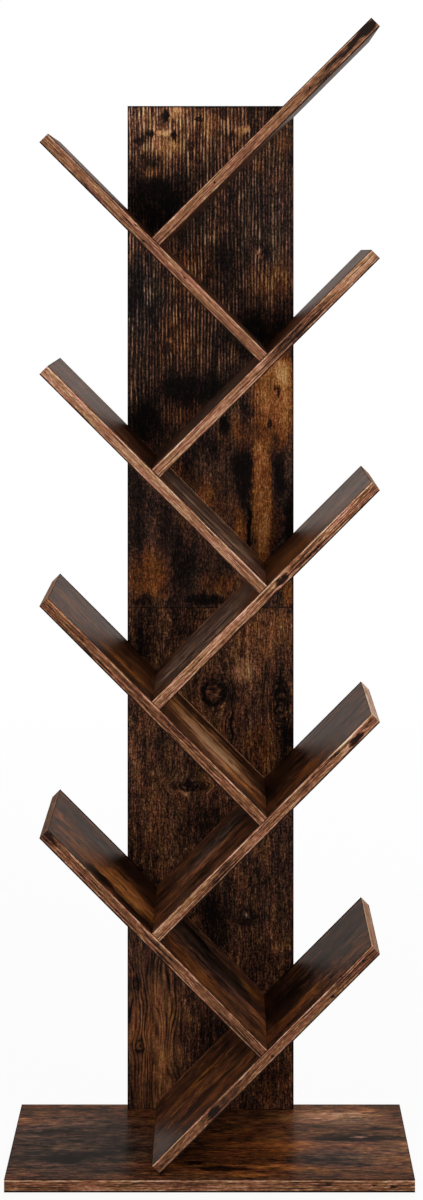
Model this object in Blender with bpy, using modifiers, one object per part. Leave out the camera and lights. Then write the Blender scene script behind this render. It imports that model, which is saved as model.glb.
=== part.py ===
"""Tree bookcase: nine slanted shelves that branch from an upright trunk on a base board.

Metres, +Z up. The origin is the middle of the base's underside, +X is the viewer's right, and the
viewer stands on the -Y side. Shelves climb at 45 degrees, by turns to the right and to the left,
and each one stands square on the top face of the shelf before it.
"""

import math
from collections import namedtuple

import bmesh
import bpy
from mathutils import Matrix, Vector

# Boards
BASE_WIDTH = 0.500
BASE_DEPTH = 0.250
BASE_THICKNESS = 0.016
TRUNK_WIDTH = 0.218
TRUNK_THICKNESS = 0.015
TRUNK_BACK_INSET = 0.003  # from the base's back edge, which leaves room for the joining plates
TRUNK_TOP_DROP = 0.006  # of the trunk's top below the last shelf's top face, at the trunk's side
SHELF_LENGTH = 0.380
SHELF_DEPTH = 0.216
SHELF_THICKNESS = 0.015
TIER_OPENING = 0.186  # clear space between two parallel shelves, square to them
RIGHT_SHELVES = 5
ARRIS = 0.0006  # width of the eased edge of a board

# Fits
CONTACT_GAP = 0.0003  # between faces that rest on each other
HOLE_CLEARANCE = 0.0003  # round and beyond a fastener in its hole

# Connector screws
SCREW_LENGTH = 0.050
SCREW_DIAMETER = 0.005
SCREW_HEAD_DIAMETER = 0.010
SCREW_SOCKET_WIDTH = 0.004  # across the flats of the hexagon
SCREW_SOCKET_DEPTH = 0.0025
SHELF_SCREW_SETBACK = 0.050  # of the lower screw from its shelf's lower end
TRUNK_SCREW_SETBACK = 0.055  # of the upper screw from the trunk's side
BASE_SCREW_SETBACK = 0.029  # of the outer base screws from the trunk's sides

# Dowels
DOWEL_LENGTH = 0.030
DOWEL_DIAMETER = 0.008
DOWEL_CHAMFER = 0.001
DOWEL_FACE_DEPTH = 0.010  # of a dowel in the face that a shelf lands on
DOWEL_SETBACK = 0.058  # of a dowel from a shelf's front or rear edge
SEAM_DOWEL_SETBACK = 0.069  # of the trunk's dowels from its sides

# Joining plates on the trunk's back
PLATE_WIDTH = 0.018
PLATE_HEIGHT = 0.060
PLATE_THICKNESS = 0.002
PLATE_CORNER = 0.003
PLATE_SETBACK = 0.020  # of a plate's outer edge from the trunk's side
PLATE_SCREW_LENGTH = 0.012
PLATE_SCREW_DIAMETER = 0.0035
PLATE_SCREW_HEAD_DIAMETER = 0.007
PLATE_SCREW_SETBACK = 0.014  # from the plate's end
CROSS_LENGTH = 0.0042
CROSS_WIDTH = 0.0009
CROSS_DEPTH = 0.0012

# Smoothness of round pieces
ROUND_SIDES = 15  # odd, so that the facets of holes in one row do not line up
CORNER_SIDES = 3
ROUND_PROFILE = 0.5  # of a bevel that follows a circle's arc
SHARP_ANGLE = math.radians(30)
MERGE_DISTANCE = 0.00001
CUT_OVERSHOOT = 0.001  # of a cutter past the face that it opens

# Places that follow from the sizes above
SLANT = math.radians(45)
TIER_STEP = TIER_OPENING + SHELF_THICKNESS
SHELF_RISE = TIER_STEP * math.sin(SLANT)  # from one shelf's foot to the next
FOOT_OFFSET = (TIER_STEP / 2 - CONTACT_GAP - SHELF_THICKNESS / 2) * math.cos(SLANT)
FIRST_FOOT_HEIGHT = BASE_THICKNESS + CONTACT_GAP + SHELF_THICKNESS / 2 * math.cos(SLANT)
SHELF_COUNT = 2 * RIGHT_SHELVES - 1
TRUNK_BACK = BASE_DEPTH / 2 - TRUNK_BACK_INSET
TRUNK_FRONT = TRUNK_BACK - TRUNK_THICKNESS
TRUNK_MIDDLE = (TRUNK_BACK + TRUNK_FRONT) / 2
SHELF_REAR = TRUNK_FRONT - CONTACT_GAP
SHELF_MIDDLE = SHELF_REAR - SHELF_DEPTH / 2
TRUNK_FOOT = BASE_THICKNESS + CONTACT_GAP
# The trunk ends a little below the place where the top face of the last shelf crosses the trunk's side.
TRUNK_TOP = (
    FIRST_FOOT_HEIGHT
    + (SHELF_COUNT - 1) * SHELF_RISE
    + (FOOT_OFFSET + TRUNK_WIDTH / 2) * math.tan(SLANT)
    + SHELF_THICKNESS / 2 / math.cos(SLANT)
    - TRUNK_TOP_DROP
)
TRUNK_BOARD_HEIGHT = (TRUNK_TOP - TRUNK_FOOT - CONTACT_GAP) / 2
TRUNK_SEAM = TRUNK_FOOT + TRUNK_BOARD_HEIGHT + CONTACT_GAP / 2
PLATE_BACK = TRUNK_BACK + CONTACT_GAP + PLATE_THICKNESS

BASE_SCREW_OFFSET = TRUNK_WIDTH / 2 - BASE_SCREW_SETBACK
SEAM_DOWEL_OFFSET = TRUNK_WIDTH / 2 - SEAM_DOWEL_SETBACK
PLATE_OFFSET = TRUNK_WIDTH / 2 - PLATE_SETBACK - PLATE_WIDTH / 2

UP = Vector((0, 0, 1))
DOWN = -UP
BACKWARD = Vector((0, 1, 0))

Shelf = namedtuple("Shelf", "board side foot along")
Fastener = namedtuple("Fastener", "mesh hole material")


def clear_scene():
    for obj in list(bpy.data.objects):
        bpy.data.objects.remove(obj, do_unlink=True)


def new_collection(name):
    collection = bpy.data.collections.new(name)
    bpy.context.scene.collection.children.link(collection)
    return collection


clear_scene()
PARTS = new_collection("tree_bookcase")
CUTTERS = new_collection("tree_bookcase_cutters")
ORIGIN = bpy.data.objects.new("tree_bookcase_origin", None)
PARTS.objects.link(ORIGIN)


def principled(name, colour, roughness, metallic=0.0):
    material = bpy.data.materials.new(name)
    material.use_nodes = True
    shader = material.node_tree.nodes["Principled BSDF"]
    shader.inputs["Base Color"].default_value = (*colour, 1.0)
    shader.inputs["Roughness"].default_value = roughness
    shader.inputs["Metallic"].default_value = metallic
    return material


TRUNK_DECOR = principled("rustic_trunk_decor", (0.065, 0.032, 0.017), 0.55)
SHELF_DECOR = principled("rustic_shelf_decor", (0.090, 0.045, 0.024), 0.40)
BASE_DECOR = principled("rustic_base_decor", (0.075, 0.038, 0.021), 0.40)
BEECH = principled("beech_dowel", (0.560, 0.380, 0.220), 0.70)
SCREW_STEEL = principled("zinc_plated_screw", (0.520, 0.500, 0.450), 0.35, 1.0)
PLATE_STEEL = principled("zinc_plated_plate", (0.560, 0.560, 0.570), 0.40, 1.0)


def add_part(name, mesh, material):
    """A sub-part of the bookcase, carried by the bookcase's origin."""
    mesh.materials.clear()
    mesh.materials.append(material)
    part = bpy.data.objects.new(name, mesh)
    part.parent = ORIGIN
    PARTS.objects.link(part)
    return part


def add_cutter(name, mesh):
    cutter = bpy.data.objects.new(name, mesh)
    cutter.hide_render = True
    cutter.display_type = "WIRE"
    CUTTERS.objects.link(cutter)
    return cutter


def cut_out(piece, cutter):
    cut = piece.modifiers.new(cutter.name, "BOOLEAN")
    cut.operation = "DIFFERENCE"
    cut.solver = "EXACT"
    cut.object = cutter


def point_at(obj, location, direction):
    """Puts an object's origin at a place and turns its own Z along a direction."""
    obj.location = location
    obj.rotation_euler = direction.to_track_quat("Z", "Y").to_euler()


def box_mesh(name, size):
    mesh = bpy.data.meshes.new(name)
    work = bmesh.new()
    bmesh.ops.create_cube(work, size=1.0, matrix=Matrix.Diagonal((*size, 1.0)))
    work.to_mesh(mesh)
    work.free()
    return mesh


def baked_mesh(obj):
    """The mesh that an object's modifiers make, for several objects to share. The object goes."""
    graph = bpy.context.evaluated_depsgraph_get()
    mesh = bpy.data.meshes.new_from_object(obj.evaluated_get(graph))
    mesh.name = obj.name
    mesh.shade_smooth()
    mesh.set_sharp_from_angle(angle=SHARP_ANGLE)
    bpy.data.objects.remove(obj, do_unlink=True)
    return mesh


def turned(name, profile):
    """A shape turned about Z from (radius, height) points, top of the axis first, as a cutter object."""
    mesh = bpy.data.meshes.new(name)
    points = [(radius, 0.0, height) for radius, height in profile]
    mesh.from_pydata(points, [(i, i + 1) for i in range(len(points) - 1)], [])
    shape = add_cutter(name, mesh)
    turn = shape.modifiers.new("Turn", "SCREW")
    turn.steps = turn.render_steps = ROUND_SIDES
    turn.use_merge_vertices = True
    turn.merge_threshold = MERGE_DISTANCE
    return shape


def screw_profile(length, diameter, head_diameter):
    """A countersunk screw: the head's flat top is at height 0 and the tip points down."""
    shank = diameter / 2
    head = head_diameter / 2
    head_height = head - shank
    return [
        (0.0, 0.0),
        (head, 0.0),
        (shank, -head_height),
        (shank, diameter - length),
        (0.0, -length),
    ]


def screw_hole_profile(length, diameter, head_diameter):
    """The hole of such a screw: its countersink runs on past the head's top at the same slope."""
    shank = diameter / 2 + HOLE_CLEARANCE
    head = head_diameter / 2 + HOLE_CLEARANCE
    return [
        (0.0, CUT_OVERSHOOT),
        (head + CUT_OVERSHOOT, CUT_OVERSHOOT),
        (shank, shank - head),
        (shank, -length - HOLE_CLEARANCE),
        (0.0, -length - HOLE_CLEARANCE),
    ]


def connector_screw():
    sizes = (SCREW_LENGTH, SCREW_DIAMETER, SCREW_HEAD_DIAMETER)
    screw = turned("connector_screw", screw_profile(*sizes))
    socket_mesh = bpy.data.meshes.new("hexagon_socket")
    work = bmesh.new()
    bmesh.ops.create_cone(
        work,
        cap_ends=True,
        segments=6,
        radius1=SCREW_SOCKET_WIDTH / math.sqrt(3),
        radius2=SCREW_SOCKET_WIDTH / math.sqrt(3),
        depth=2 * SCREW_SOCKET_DEPTH,
    )
    work.to_mesh(socket_mesh)
    work.free()
    socket = add_cutter("hexagon_socket", socket_mesh)
    cut_out(screw, socket)
    mesh = baked_mesh(screw)
    bpy.data.objects.remove(socket, do_unlink=True)
    hole = baked_mesh(turned("connector_screw_hole", screw_hole_profile(*sizes)))
    return Fastener(mesh, hole, SCREW_STEEL)


def plate_screw():
    sizes = (PLATE_SCREW_LENGTH, PLATE_SCREW_DIAMETER, PLATE_SCREW_HEAD_DIAMETER)
    screw = turned("plate_screw", screw_profile(*sizes))
    bars = []
    for name, size in (
        ("cross_bar", (CROSS_LENGTH, CROSS_WIDTH, 2 * CROSS_DEPTH)),
        ("cross_stem", (CROSS_WIDTH, CROSS_LENGTH, 2 * CROSS_DEPTH)),
    ):
        bar = add_cutter(name, box_mesh(name, size))
        cut_out(screw, bar)
        bars.append(bar)
    mesh = baked_mesh(screw)
    for bar in bars:
        bpy.data.objects.remove(bar, do_unlink=True)
    hole = baked_mesh(turned("plate_screw_hole", screw_hole_profile(*sizes)))
    return Fastener(mesh, hole, SCREW_STEEL)


def dowel():
    """A round peg with chamfered ends, with its middle at the origin."""
    radius = DOWEL_DIAMETER / 2
    end = DOWEL_LENGTH / 2
    profile = [
        (0.0, end),
        (radius - DOWEL_CHAMFER, end),
        (radius, end - DOWEL_CHAMFER),
        (radius, DOWEL_CHAMFER - end),
        (radius - DOWEL_CHAMFER, -end),
        (0.0, -end),
    ]
    hole_radius = radius + HOLE_CLEARANCE
    hole_end = end + HOLE_CLEARANCE
    hole_profile = [(0.0, hole_end), (hole_radius, hole_end), (hole_radius, -hole_end), (0.0, -hole_end)]
    return Fastener(
        baked_mesh(turned("dowel", profile)),
        baked_mesh(turned("dowel_hole", hole_profile)),
        BEECH,
    )


def fasten(name, fastener, location, direction, pieces):
    """Puts a fastener in its place and cuts its hole in the pieces that it holds together."""
    part = add_part(name, fastener.mesh, fastener.material)
    point_at(part, location, direction)
    hole = add_cutter(name + "_hole", fastener.hole)
    point_at(hole, location, direction)
    for piece in pieces:
        cut_out(piece, hole)


def board(name, size, material):
    """A rectangular board with its edges eased."""
    piece = add_part(name, box_mesh(name, size), material)
    easing = piece.modifiers.new("Eased edges", "BEVEL")
    easing.width = ARRIS
    easing.segments = 1
    return piece


def make_base():
    base = board("base_board", (BASE_WIDTH, BASE_DEPTH, BASE_THICKNESS), BASE_DECOR)
    base.location = (0, 0, BASE_THICKNESS / 2)
    return base


def make_trunk():
    """Two equal boards, one on the other: the lower first."""
    size = (TRUNK_WIDTH, TRUNK_THICKNESS, TRUNK_BOARD_HEIGHT)
    lower = board("lower_trunk_board", size, TRUNK_DECOR)
    lower.location = (0, TRUNK_MIDDLE, TRUNK_FOOT + TRUNK_BOARD_HEIGHT / 2)
    upper = board("upper_trunk_board", size, TRUNK_DECOR)
    upper.location = (0, TRUNK_MIDDLE, TRUNK_TOP - TRUNK_BOARD_HEIGHT / 2)
    return lower, upper


def make_shelf(number):
    """The shelf at a place in the zigzag: even ones climb to the right, odd ones to the left."""
    side = 1 if number % 2 == 0 else -1
    name = ("right" if side > 0 else "left") + f"_shelf_{number // 2 + 1}"
    along = Vector((side * math.cos(SLANT), 0, math.sin(SLANT)))
    foot = Vector((-side * FOOT_OFFSET, SHELF_MIDDLE, FIRST_FOOT_HEIGHT + number * SHELF_RISE))
    piece = board(name, (SHELF_LENGTH, SHELF_DEPTH, SHELF_THICKNESS), SHELF_DECOR)
    piece.location = foot + along * SHELF_LENGTH / 2
    piece.rotation_euler = (0, -side * SLANT, 0)
    return Shelf(piece, side, foot, along)


def trunk_boards_at(height, trunk, reach):
    """The trunk boards that a hole at this height, of this radius, cuts into."""
    lower, upper = trunk
    boards = []
    if height - reach < TRUNK_SEAM:
        boards.append(lower)
    if height + reach > TRUNK_SEAM:
        boards.append(upper)
    return boards


def screw_shelf_to_trunk(shelf, trunk, screw):
    upper_distance = (TRUNK_WIDTH / 2 - TRUNK_SCREW_SETBACK + FOOT_OFFSET) / math.cos(SLANT)
    for place, distance in (("lower", SHELF_SCREW_SETBACK), ("upper", upper_distance)):
        location = shelf.foot + shelf.along * distance
        location.y = TRUNK_BACK
        boards = trunk_boards_at(location.z, trunk, SCREW_HEAD_DIAMETER / 2 + HOLE_CLEARANCE)
        name = f"{shelf.board.name}_{place}_screw"
        fasten(name, screw, location, BACKWARD, [*boards, shelf.board])


def dowel_shelf_to_shelf(shelf, below, peg):
    """Two dowels through a shelf's lower end into the face of the shelf that it lands on."""
    spread = SHELF_DEPTH / 2 - DOWEL_SETBACK
    for place, offset in (("front", -spread), ("rear", spread)):
        location = shelf.foot + shelf.along * (DOWEL_LENGTH / 2 - DOWEL_FACE_DEPTH)
        location.y += offset
        name = f"{shelf.board.name}_{place}_dowel"
        fasten(name, peg, location, shelf.along, [shelf.board, below.board])


def fasten_trunk(base, trunk, screw, peg):
    """Screws up through the base into the trunk's foot, and dowels across the trunk's seam."""
    lower, upper = trunk
    for place, side in (("left", -1), ("middle", 0), ("right", 1)):
        location = Vector((side * BASE_SCREW_OFFSET, TRUNK_MIDDLE, 0))
        fasten(f"base_{place}_screw", screw, location, DOWN, [base, lower])
    for place, side in (("left", -1), ("right", 1)):
        location = Vector((side * SEAM_DOWEL_OFFSET, TRUNK_MIDDLE, TRUNK_SEAM))
        fasten(f"trunk_seam_{place}_dowel", peg, location, UP, [lower, upper])


def plate_mesh(name):
    """A flat plate that stands upright, its four corners rounded."""
    mesh = box_mesh(name, (PLATE_WIDTH, PLATE_THICKNESS, PLATE_HEIGHT))
    work = bmesh.new()
    work.from_mesh(mesh)
    corners = []
    for edge in work.edges:
        start, end = edge.verts
        if abs(start.co.y - end.co.y) > PLATE_THICKNESS / 2:
            corners.append(edge)
    bmesh.ops.bevel(
        work,
        geom=corners,
        affect="EDGES",
        offset=PLATE_CORNER,
        segments=CORNER_SIDES,
        profile=ROUND_PROFILE,
    )
    work.to_mesh(mesh)
    work.free()
    return mesh


def join_trunk_with_plates(trunk, screw):
    lower, upper = trunk
    reach = PLATE_HEIGHT / 2 - PLATE_SCREW_SETBACK
    for place, side in (("left", -1), ("right", 1)):
        name = f"{place}_joining_plate"
        plate = add_part(name, plate_mesh(name), PLATE_STEEL)
        plate.location = (side * PLATE_OFFSET, PLATE_BACK - PLATE_THICKNESS / 2, TRUNK_SEAM)
        for end, height, trunk_board in (("lower", -reach, lower), ("upper", reach, upper)):
            location = Vector((side * PLATE_OFFSET, PLATE_BACK, TRUNK_SEAM + height))
            fasten(f"{place}_plate_{end}_screw", screw, location, BACKWARD, [plate, trunk_board])


def main():
    screw = connector_screw()
    peg = dowel()
    base = make_base()
    trunk = make_trunk()
    shelves = [make_shelf(number) for number in range(SHELF_COUNT)]
    fasten_trunk(base, trunk, screw, peg)
    join_trunk_with_plates(trunk, plate_screw())
    for shelf in shelves:
        screw_shelf_to_trunk(shelf, trunk, screw)
    for below, shelf in zip(shelves, shelves[1:]):
        dowel_shelf_to_shelf(shelf, below, peg)


main()
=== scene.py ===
# %% [markdown]
# Tree bookcase in rustic brown: the looks
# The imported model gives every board, screw, dowel and plate at its real size. This script leaves those
# where they are and adds what the eye sees first: the printed wood of each board, the thin strips glued
# over the boards' edges, the metal of the fittings, and a plain white studio round it all.

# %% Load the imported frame
import math
from collections import namedtuple

import bmesh
import bpy
from mathutils import Matrix, Vector


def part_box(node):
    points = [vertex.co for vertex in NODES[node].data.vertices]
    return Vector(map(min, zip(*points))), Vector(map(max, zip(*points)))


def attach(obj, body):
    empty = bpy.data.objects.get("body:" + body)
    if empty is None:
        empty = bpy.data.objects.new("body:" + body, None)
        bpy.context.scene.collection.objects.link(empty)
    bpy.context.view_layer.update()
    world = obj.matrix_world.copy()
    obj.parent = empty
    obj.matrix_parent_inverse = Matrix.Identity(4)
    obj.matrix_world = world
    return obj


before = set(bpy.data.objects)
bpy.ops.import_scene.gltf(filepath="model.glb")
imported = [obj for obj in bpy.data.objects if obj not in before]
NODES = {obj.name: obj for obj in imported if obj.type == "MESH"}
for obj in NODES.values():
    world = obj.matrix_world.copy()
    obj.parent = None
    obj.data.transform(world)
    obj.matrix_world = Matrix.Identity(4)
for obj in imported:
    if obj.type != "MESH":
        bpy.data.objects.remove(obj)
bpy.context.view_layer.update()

# %% [markdown]
# The camera
# The photograph was taken from straight ahead, level with the fourth pair of shelves, and its upright lines
# stay upright. A level camera whose picture is slid down keeps them so, where a tilted one would lean them.
# So the lens is shifted and the camera itself is not turned.

# %% Camera
CAMERA_PLACE = Vector((0.0164, -2.971, 1.145))
LENS_LENGTH = 70.08
LENS_SHIFT = (-0.0096, -0.2895)

camera_data = bpy.data.cameras.new("camera")
camera_data.lens = LENS_LENGTH
camera_data.shift_x, camera_data.shift_y = LENS_SHIFT
camera = bpy.data.objects.new("camera", camera_data)
camera.location = CAMERA_PLACE
camera.rotation_euler = (math.radians(90), 0, 0)
bpy.context.scene.collection.objects.link(camera)
bpy.context.scene.camera = camera
bpy.context.scene.view_settings.view_transform = "Standard"
print("camera at", tuple(CAMERA_PLACE), "lens", LENS_LENGTH)

# %% [markdown]
# Writing shaders as sums
# A shader is a net of small nodes. Made one by one, even a short sum fills a page. Here one class holds a
# socket, and Python's own signs add the nodes: `1 - mask` makes a Math node, and a sum on places makes a
# Vector Math node. Any other node comes from its one method, `node`.

# %% The wire class


class Wire:
    """A shader socket that can stand in a sum."""

    def __init__(self, socket):
        self.socket = socket
        self.tree = socket.id_data

    def node(self, kind, settings, inputs, output=0):
        """Adds any node: its settings first, then the values or links of its sockets."""
        made = self.tree.nodes.new(kind)
        for name, value in settings.items():
            if name == "stops":
                set_stops(made.color_ramp, value)
            else:
                setattr(made, name, value)
        for key, value in inputs.items():
            if isinstance(value, Wire):
                self.tree.links.new(value.socket, made.inputs[key])
            else:
                made.inputs[key].default_value = value
        return Wire(made.outputs[output])

    def sum(self, operation, *values):
        on_places = self.socket.type in ("VECTOR", "RGBA")
        kind = "ShaderNodeVectorMath" if on_places else "ShaderNodeMath"
        return self.node(kind, {"operation": operation}, dict(enumerate(values)))

    def __add__(self, other):
        return self.sum("ADD", self, other)

    def __radd__(self, other):
        return self.sum("ADD", other, self)

    def __sub__(self, other):
        return self.sum("SUBTRACT", self, other)

    def __rsub__(self, other):
        return self.sum("SUBTRACT", other, self)

    def __mul__(self, other):
        return self.sum("MULTIPLY", self, other)

    def __rmul__(self, other):
        return self.sum("MULTIPLY", other, self)

    def __truediv__(self, other):
        return self.sum("DIVIDE", self, other)

    def __rtruediv__(self, other):
        return self.sum("DIVIDE", other, self)


def set_stops(ramp, stops):
    """Fills a colour ramp from (place, colour) pairs."""
    while len(ramp.elements) < len(stops):
        ramp.elements.new(1.0)
    for element, (place, colour) in zip(ramp.elements, stops):
        element.position = place
        element.color = (*colour, 1.0)


print("signs that add nodes: + - * /")

# %% [markdown]
# The few nodes that every finish needs
# Noise gives the wood its unevenness. Dividing the place before it reaches the noise stretches the pattern,
# so a place divided by 40 mm along the grain and 2 mm across it gives fibres. A smooth step turns a value
# into a mask, a ramp turns it into colour, and a mix lays one colour on another.

# %% Shader helpers
MM = 1000.0
NOISE_MEAN = 0.5
Noise = namedtuple("Noise", "size detail roughness", defaults=(2.0, 0.5))


def noise(place, kind, output="Fac"):
    """Noise of this kind. Its size is that of its spots, in millimetres, along each of the place's axes."""
    return place.node(
        "ShaderNodeTexNoise",
        {},
        {"Vector": place / kind.size, "Scale": 1.0, "Detail": kind.detail, "Roughness": kind.roughness},
        output,
    )


def swing(place, kind):
    """Noise of this kind, about 0 in the mean."""
    return noise(place, kind) - NOISE_MEAN


def ease(value, low, high):
    """0 below low, 1 above high, and a smooth step between. With low above high it falls."""
    return value.node(
        "ShaderNodeMapRange",
        {"interpolation_type": "SMOOTHSTEP"},
        {"Value": value, "From Min": low, "From Max": high},
    )


def partly(mask, share):
    """1 where the mask is 1, and less by this share where it is 0."""
    return mask * share + (1 - share)


def ramp(value, stops):
    return value.node("ShaderNodeValToRGB", {"stops": stops}, {"Fac": value})


def mix(share, first, second):
    """A colour that goes from first to second as share goes from 0 to 1."""
    return share.node("ShaderNodeMix", {"data_type": "RGBA"}, {0: share, 6: first, 7: second}, 2)


def axis(place, name):
    return place.node("ShaderNodeSeparateXYZ", {}, {0: place}, name)


def vector_length(place):
    return place.node("ShaderNodeVectorMath", {"operation": "LENGTH"}, {0: place}, "Value")


def scaled(place, factor):
    return place.node("ShaderNodeVectorMath", {"operation": "SCALE"}, {0: place, "Scale": factor})


def bump(height, strength, distance):
    return height.node(
        "ShaderNodeBump", {}, {"Height": height, "Strength": strength, "Distance": distance}
    )


print("helpers: noise, swing, ease, partly, ramp, mix, axis, vector_length, scaled, bump")

# %% [markdown]
# A new material starts with two things: the place of a point on the piece, and the shader that the sums
# will feed. Constants go straight onto the shader's own sockets. A sheen says how rough a surface is, how
# much that varies, and how strong and how deep its relief is, in metres.

# %% Starting a material
Sheen = namedtuple("Sheen", "roughness swing relief depth")


def new_finish(name, **constants):
    """A material, its shader and its place wire, in metres in the object's own axes."""
    material = bpy.data.materials.new(name)
    material.use_nodes = True
    tree = material.node_tree
    shader = tree.nodes["Principled BSDF"]
    for socket, value in constants.items():
        shader.inputs[socket.replace("_", " ")].default_value = value
    place = Wire(tree.nodes.new("ShaderNodeTexCoord").outputs["Object"])
    return material, shader, place


def feed(node, **wires):
    """Links wires to a node's sockets."""
    for socket, wire in wires.items():
        wire.tree.links.new(wire.socket, node.inputs[socket.replace("_", " ")])


def feed_finish(shader, colour, sheen, uneven, height):
    """Feeds a colour, a roughness that varies with uneven, and the relief of a height."""
    feed(
        shader,
        Base_Color=colour,
        Roughness=sheen.roughness + uneven * sheen.swing,
        Normal=bump(height, sheen.relief, sheen.depth),
    )


def put_on(name, material):
    """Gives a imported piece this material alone."""
    NODES[name].data.materials.clear()
    NODES[name].data.materials.append(material)


print("materials start from new_finish and end with put_on")

# %% [markdown]
# Studio
# A plain pale floor and a white surround. The surround is white where the camera looks at it, and dimmer as
# a light, so that the white behind the bookcase does not flood it. The satin shelves mirror the room. What
# they mirror is dim, apart from a screen straight ahead on the far side, white in its middle and warmer
# round it.

# %% World
AMBIENT = 0.32
DIM_MIRRORED = 0.12
SCREEN_MIRRORED = 0.60
SCREEN_RIM = 0.92, 1.0  # how straight ahead a ray points where the screen begins, and where it is brightest
SCREEN_HEART = 0.98, 1.0  # the same for its white middle
WHITE = (1.0, 1.0, 1.0, 1.0)
SCREEN_WHITE = (1.0, 0.95, 0.92, 1.0)
SCREEN_WARM = (1.0, 0.86, 0.78, 1.0)

world = bpy.data.worlds.new("white_surround")
world.use_nodes = True
bpy.context.scene.world = world
direction = Wire(world.node_tree.nodes.new("ShaderNodeTexCoord").outputs["Generated"])
rays = world.node_tree.nodes.new("ShaderNodeLightPath")
seen = Wire(rays.outputs["Is Camera Ray"])
mirrored = Wire(rays.outputs["Is Glossy Ray"])
ahead = axis(direction, "Y")
mirrored_level = DIM_MIRRORED + ease(ahead, *SCREEN_RIM) * (SCREEN_MIRRORED - DIM_MIRRORED)
surround = AMBIENT + mirrored * (mirrored_level - AMBIENT) + seen * (1.0 - AMBIENT)
screen = mix(ease(ahead, *SCREEN_HEART), SCREEN_WARM, SCREEN_WHITE)
feed(world.node_tree.nodes["Background"], Strength=surround, Color=mix(mirrored, WHITE, screen))
print("surround lights at", AMBIENT)

# %% Floor
FLOOR_SIZE = 8.0
FLOOR_DROP = 0.0005

floor_mesh = bpy.data.meshes.new("floor")
floor_work = bmesh.new()
bmesh.ops.create_grid(floor_work, x_segments=1, y_segments=1, size=FLOOR_SIZE / 2)
floor_work.to_mesh(floor_mesh)
floor_work.free()
floor = bpy.data.objects.new("floor", floor_mesh)
floor.location = (0, 0, -FLOOR_DROP)
bpy.context.scene.collection.objects.link(floor)
print("floor", FLOOR_SIZE, "m wide")

# %% Floor finish
FLOOR_GREY = (0.86, 0.86, 0.86, 1.0)
FLOOR_ROUGHNESS = 0.9
FLOOR_GLOW = 0.92  # how much of the floor is plain white to the camera
FLOOR_MIRRORED = 0.40  # the same in mirrors, as a share of it
FLOOR_FADE = 0.6, 3.2  # distances between which the floor melts into the white surround


def mix_shaders(share, first, second):
    return share.node("ShaderNodeMixShader", {}, {0: share, 1: first, 2: second})


floor_finish, floor_shader, floor_place = new_finish(
    "pale_floor", Base_Color=FLOOR_GREY, Roughness=FLOOR_ROUGHNESS
)
floor_nodes = floor_finish.node_tree.nodes
floor_rays = floor_nodes.new("ShaderNodeLightPath")
floor_mirrored = Wire(floor_rays.outputs["Is Glossy Ray"])
looked_at = Wire(floor_rays.outputs["Is Camera Ray"]) + floor_mirrored * FLOOR_MIRRORED
glow = Wire(floor_nodes.new("ShaderNodeEmission").outputs[0])
nothing = Wire(floor_nodes.new("ShaderNodeBsdfTransparent").outputs[0])
lit_floor = mix_shaders(looked_at * FLOOR_GLOW, Wire(floor_shader.outputs[0]), glow)
faded_floor = mix_shaders(ease(vector_length(floor_place), *FLOOR_FADE), lit_floor, nothing)
feed(floor_nodes["Material Output"], Surface=faded_floor)
floor_mesh.materials.append(floor_finish)
print("floor fades between", FLOOR_FADE, "m")

# %% [markdown]
# Light comes from two soft panels in front, one on each side, a little above the topmost shelf. Light from
# the sides cannot reach into the notches between two shelves, so they go dark, as in the photograph, and
# the lower shelves lie further from the panels and are dimmer. A third panel lights the back, and is kept
# out of mirrors, because the topmost shelves are seen so flatly that it would sparkle in them.

# %% Lights
Panel = namedtuple("Panel", "name place size watts mirrored")
AIM = Vector((0.0, 0.0, 0.95))
PANELS = (
    Panel("left_panel", Vector((-1.0, -1.1, 1.5)), 0.9, 11.0, True),
    Panel("right_panel", Vector((1.0, -1.1, 1.5)), 0.9, 11.0, True),
    Panel("rear_panel", Vector((0.5, 1.9, 2.3)), 1.2, 36.0, False),
)

for panel in PANELS:
    lamp = bpy.data.lights.new(panel.name, "AREA")
    lamp.size = panel.size
    lamp.energy = panel.watts
    light = bpy.data.objects.new(panel.name, lamp)
    light.location = panel.place
    light.rotation_euler = (AIM - panel.place).to_track_quat("-Z", "Y").to_euler()
    light.visible_glossy = panel.mirrored
    bpy.context.scene.collection.objects.link(light)
print("panels:", [panel.name for panel in PANELS])

# %% [markdown]
# Where the boards lie
# Each shelf is a plain board turned by 45 degrees, and its name tells which way it climbs. Its length is
# how far its points reach along the slant: its box would not do, because the rounded corners fall short
# of it. A shelf's own axes start at the middle of its lower end: first along the board, then from front
# to rear, then out of its upper face.

# %% Shelf places
SLANT = math.radians(45)
REARWARD = Vector((0, 1, 0))
Shelf = namedtuple("Shelf", "name side along outward length depth thickness foot")


def reach(points, direction):
    """The least and the greatest distance of the points along a direction."""
    distances = [point.dot(direction) for point in points]
    return min(distances), max(distances)


def find_shelf(name):
    side = 1 if name.startswith("right") else -1
    along = Vector((side * math.cos(SLANT), 0, math.sin(SLANT)))
    outward = Vector((-side * math.sin(SLANT), 0, math.cos(SLANT)))
    points = [vertex.co for vertex in NODES[name].data.vertices]
    start, end = reach(points, along)
    front, rear = reach(points, REARWARD)
    under, upper = reach(points, outward)
    foot = along * start + REARWARD * (front + rear) / 2 + outward * (under + upper) / 2
    return Shelf(name, side, along, outward, end - start, rear - front, upper - under, foot)


SHELVES = [find_shelf(name) for name in sorted(NODES) if name[-1].isdigit()]
for shelf in SHELVES:
    print(shelf.name, "length", round(shelf.length, 4), "depth", round(shelf.depth, 4))
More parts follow.
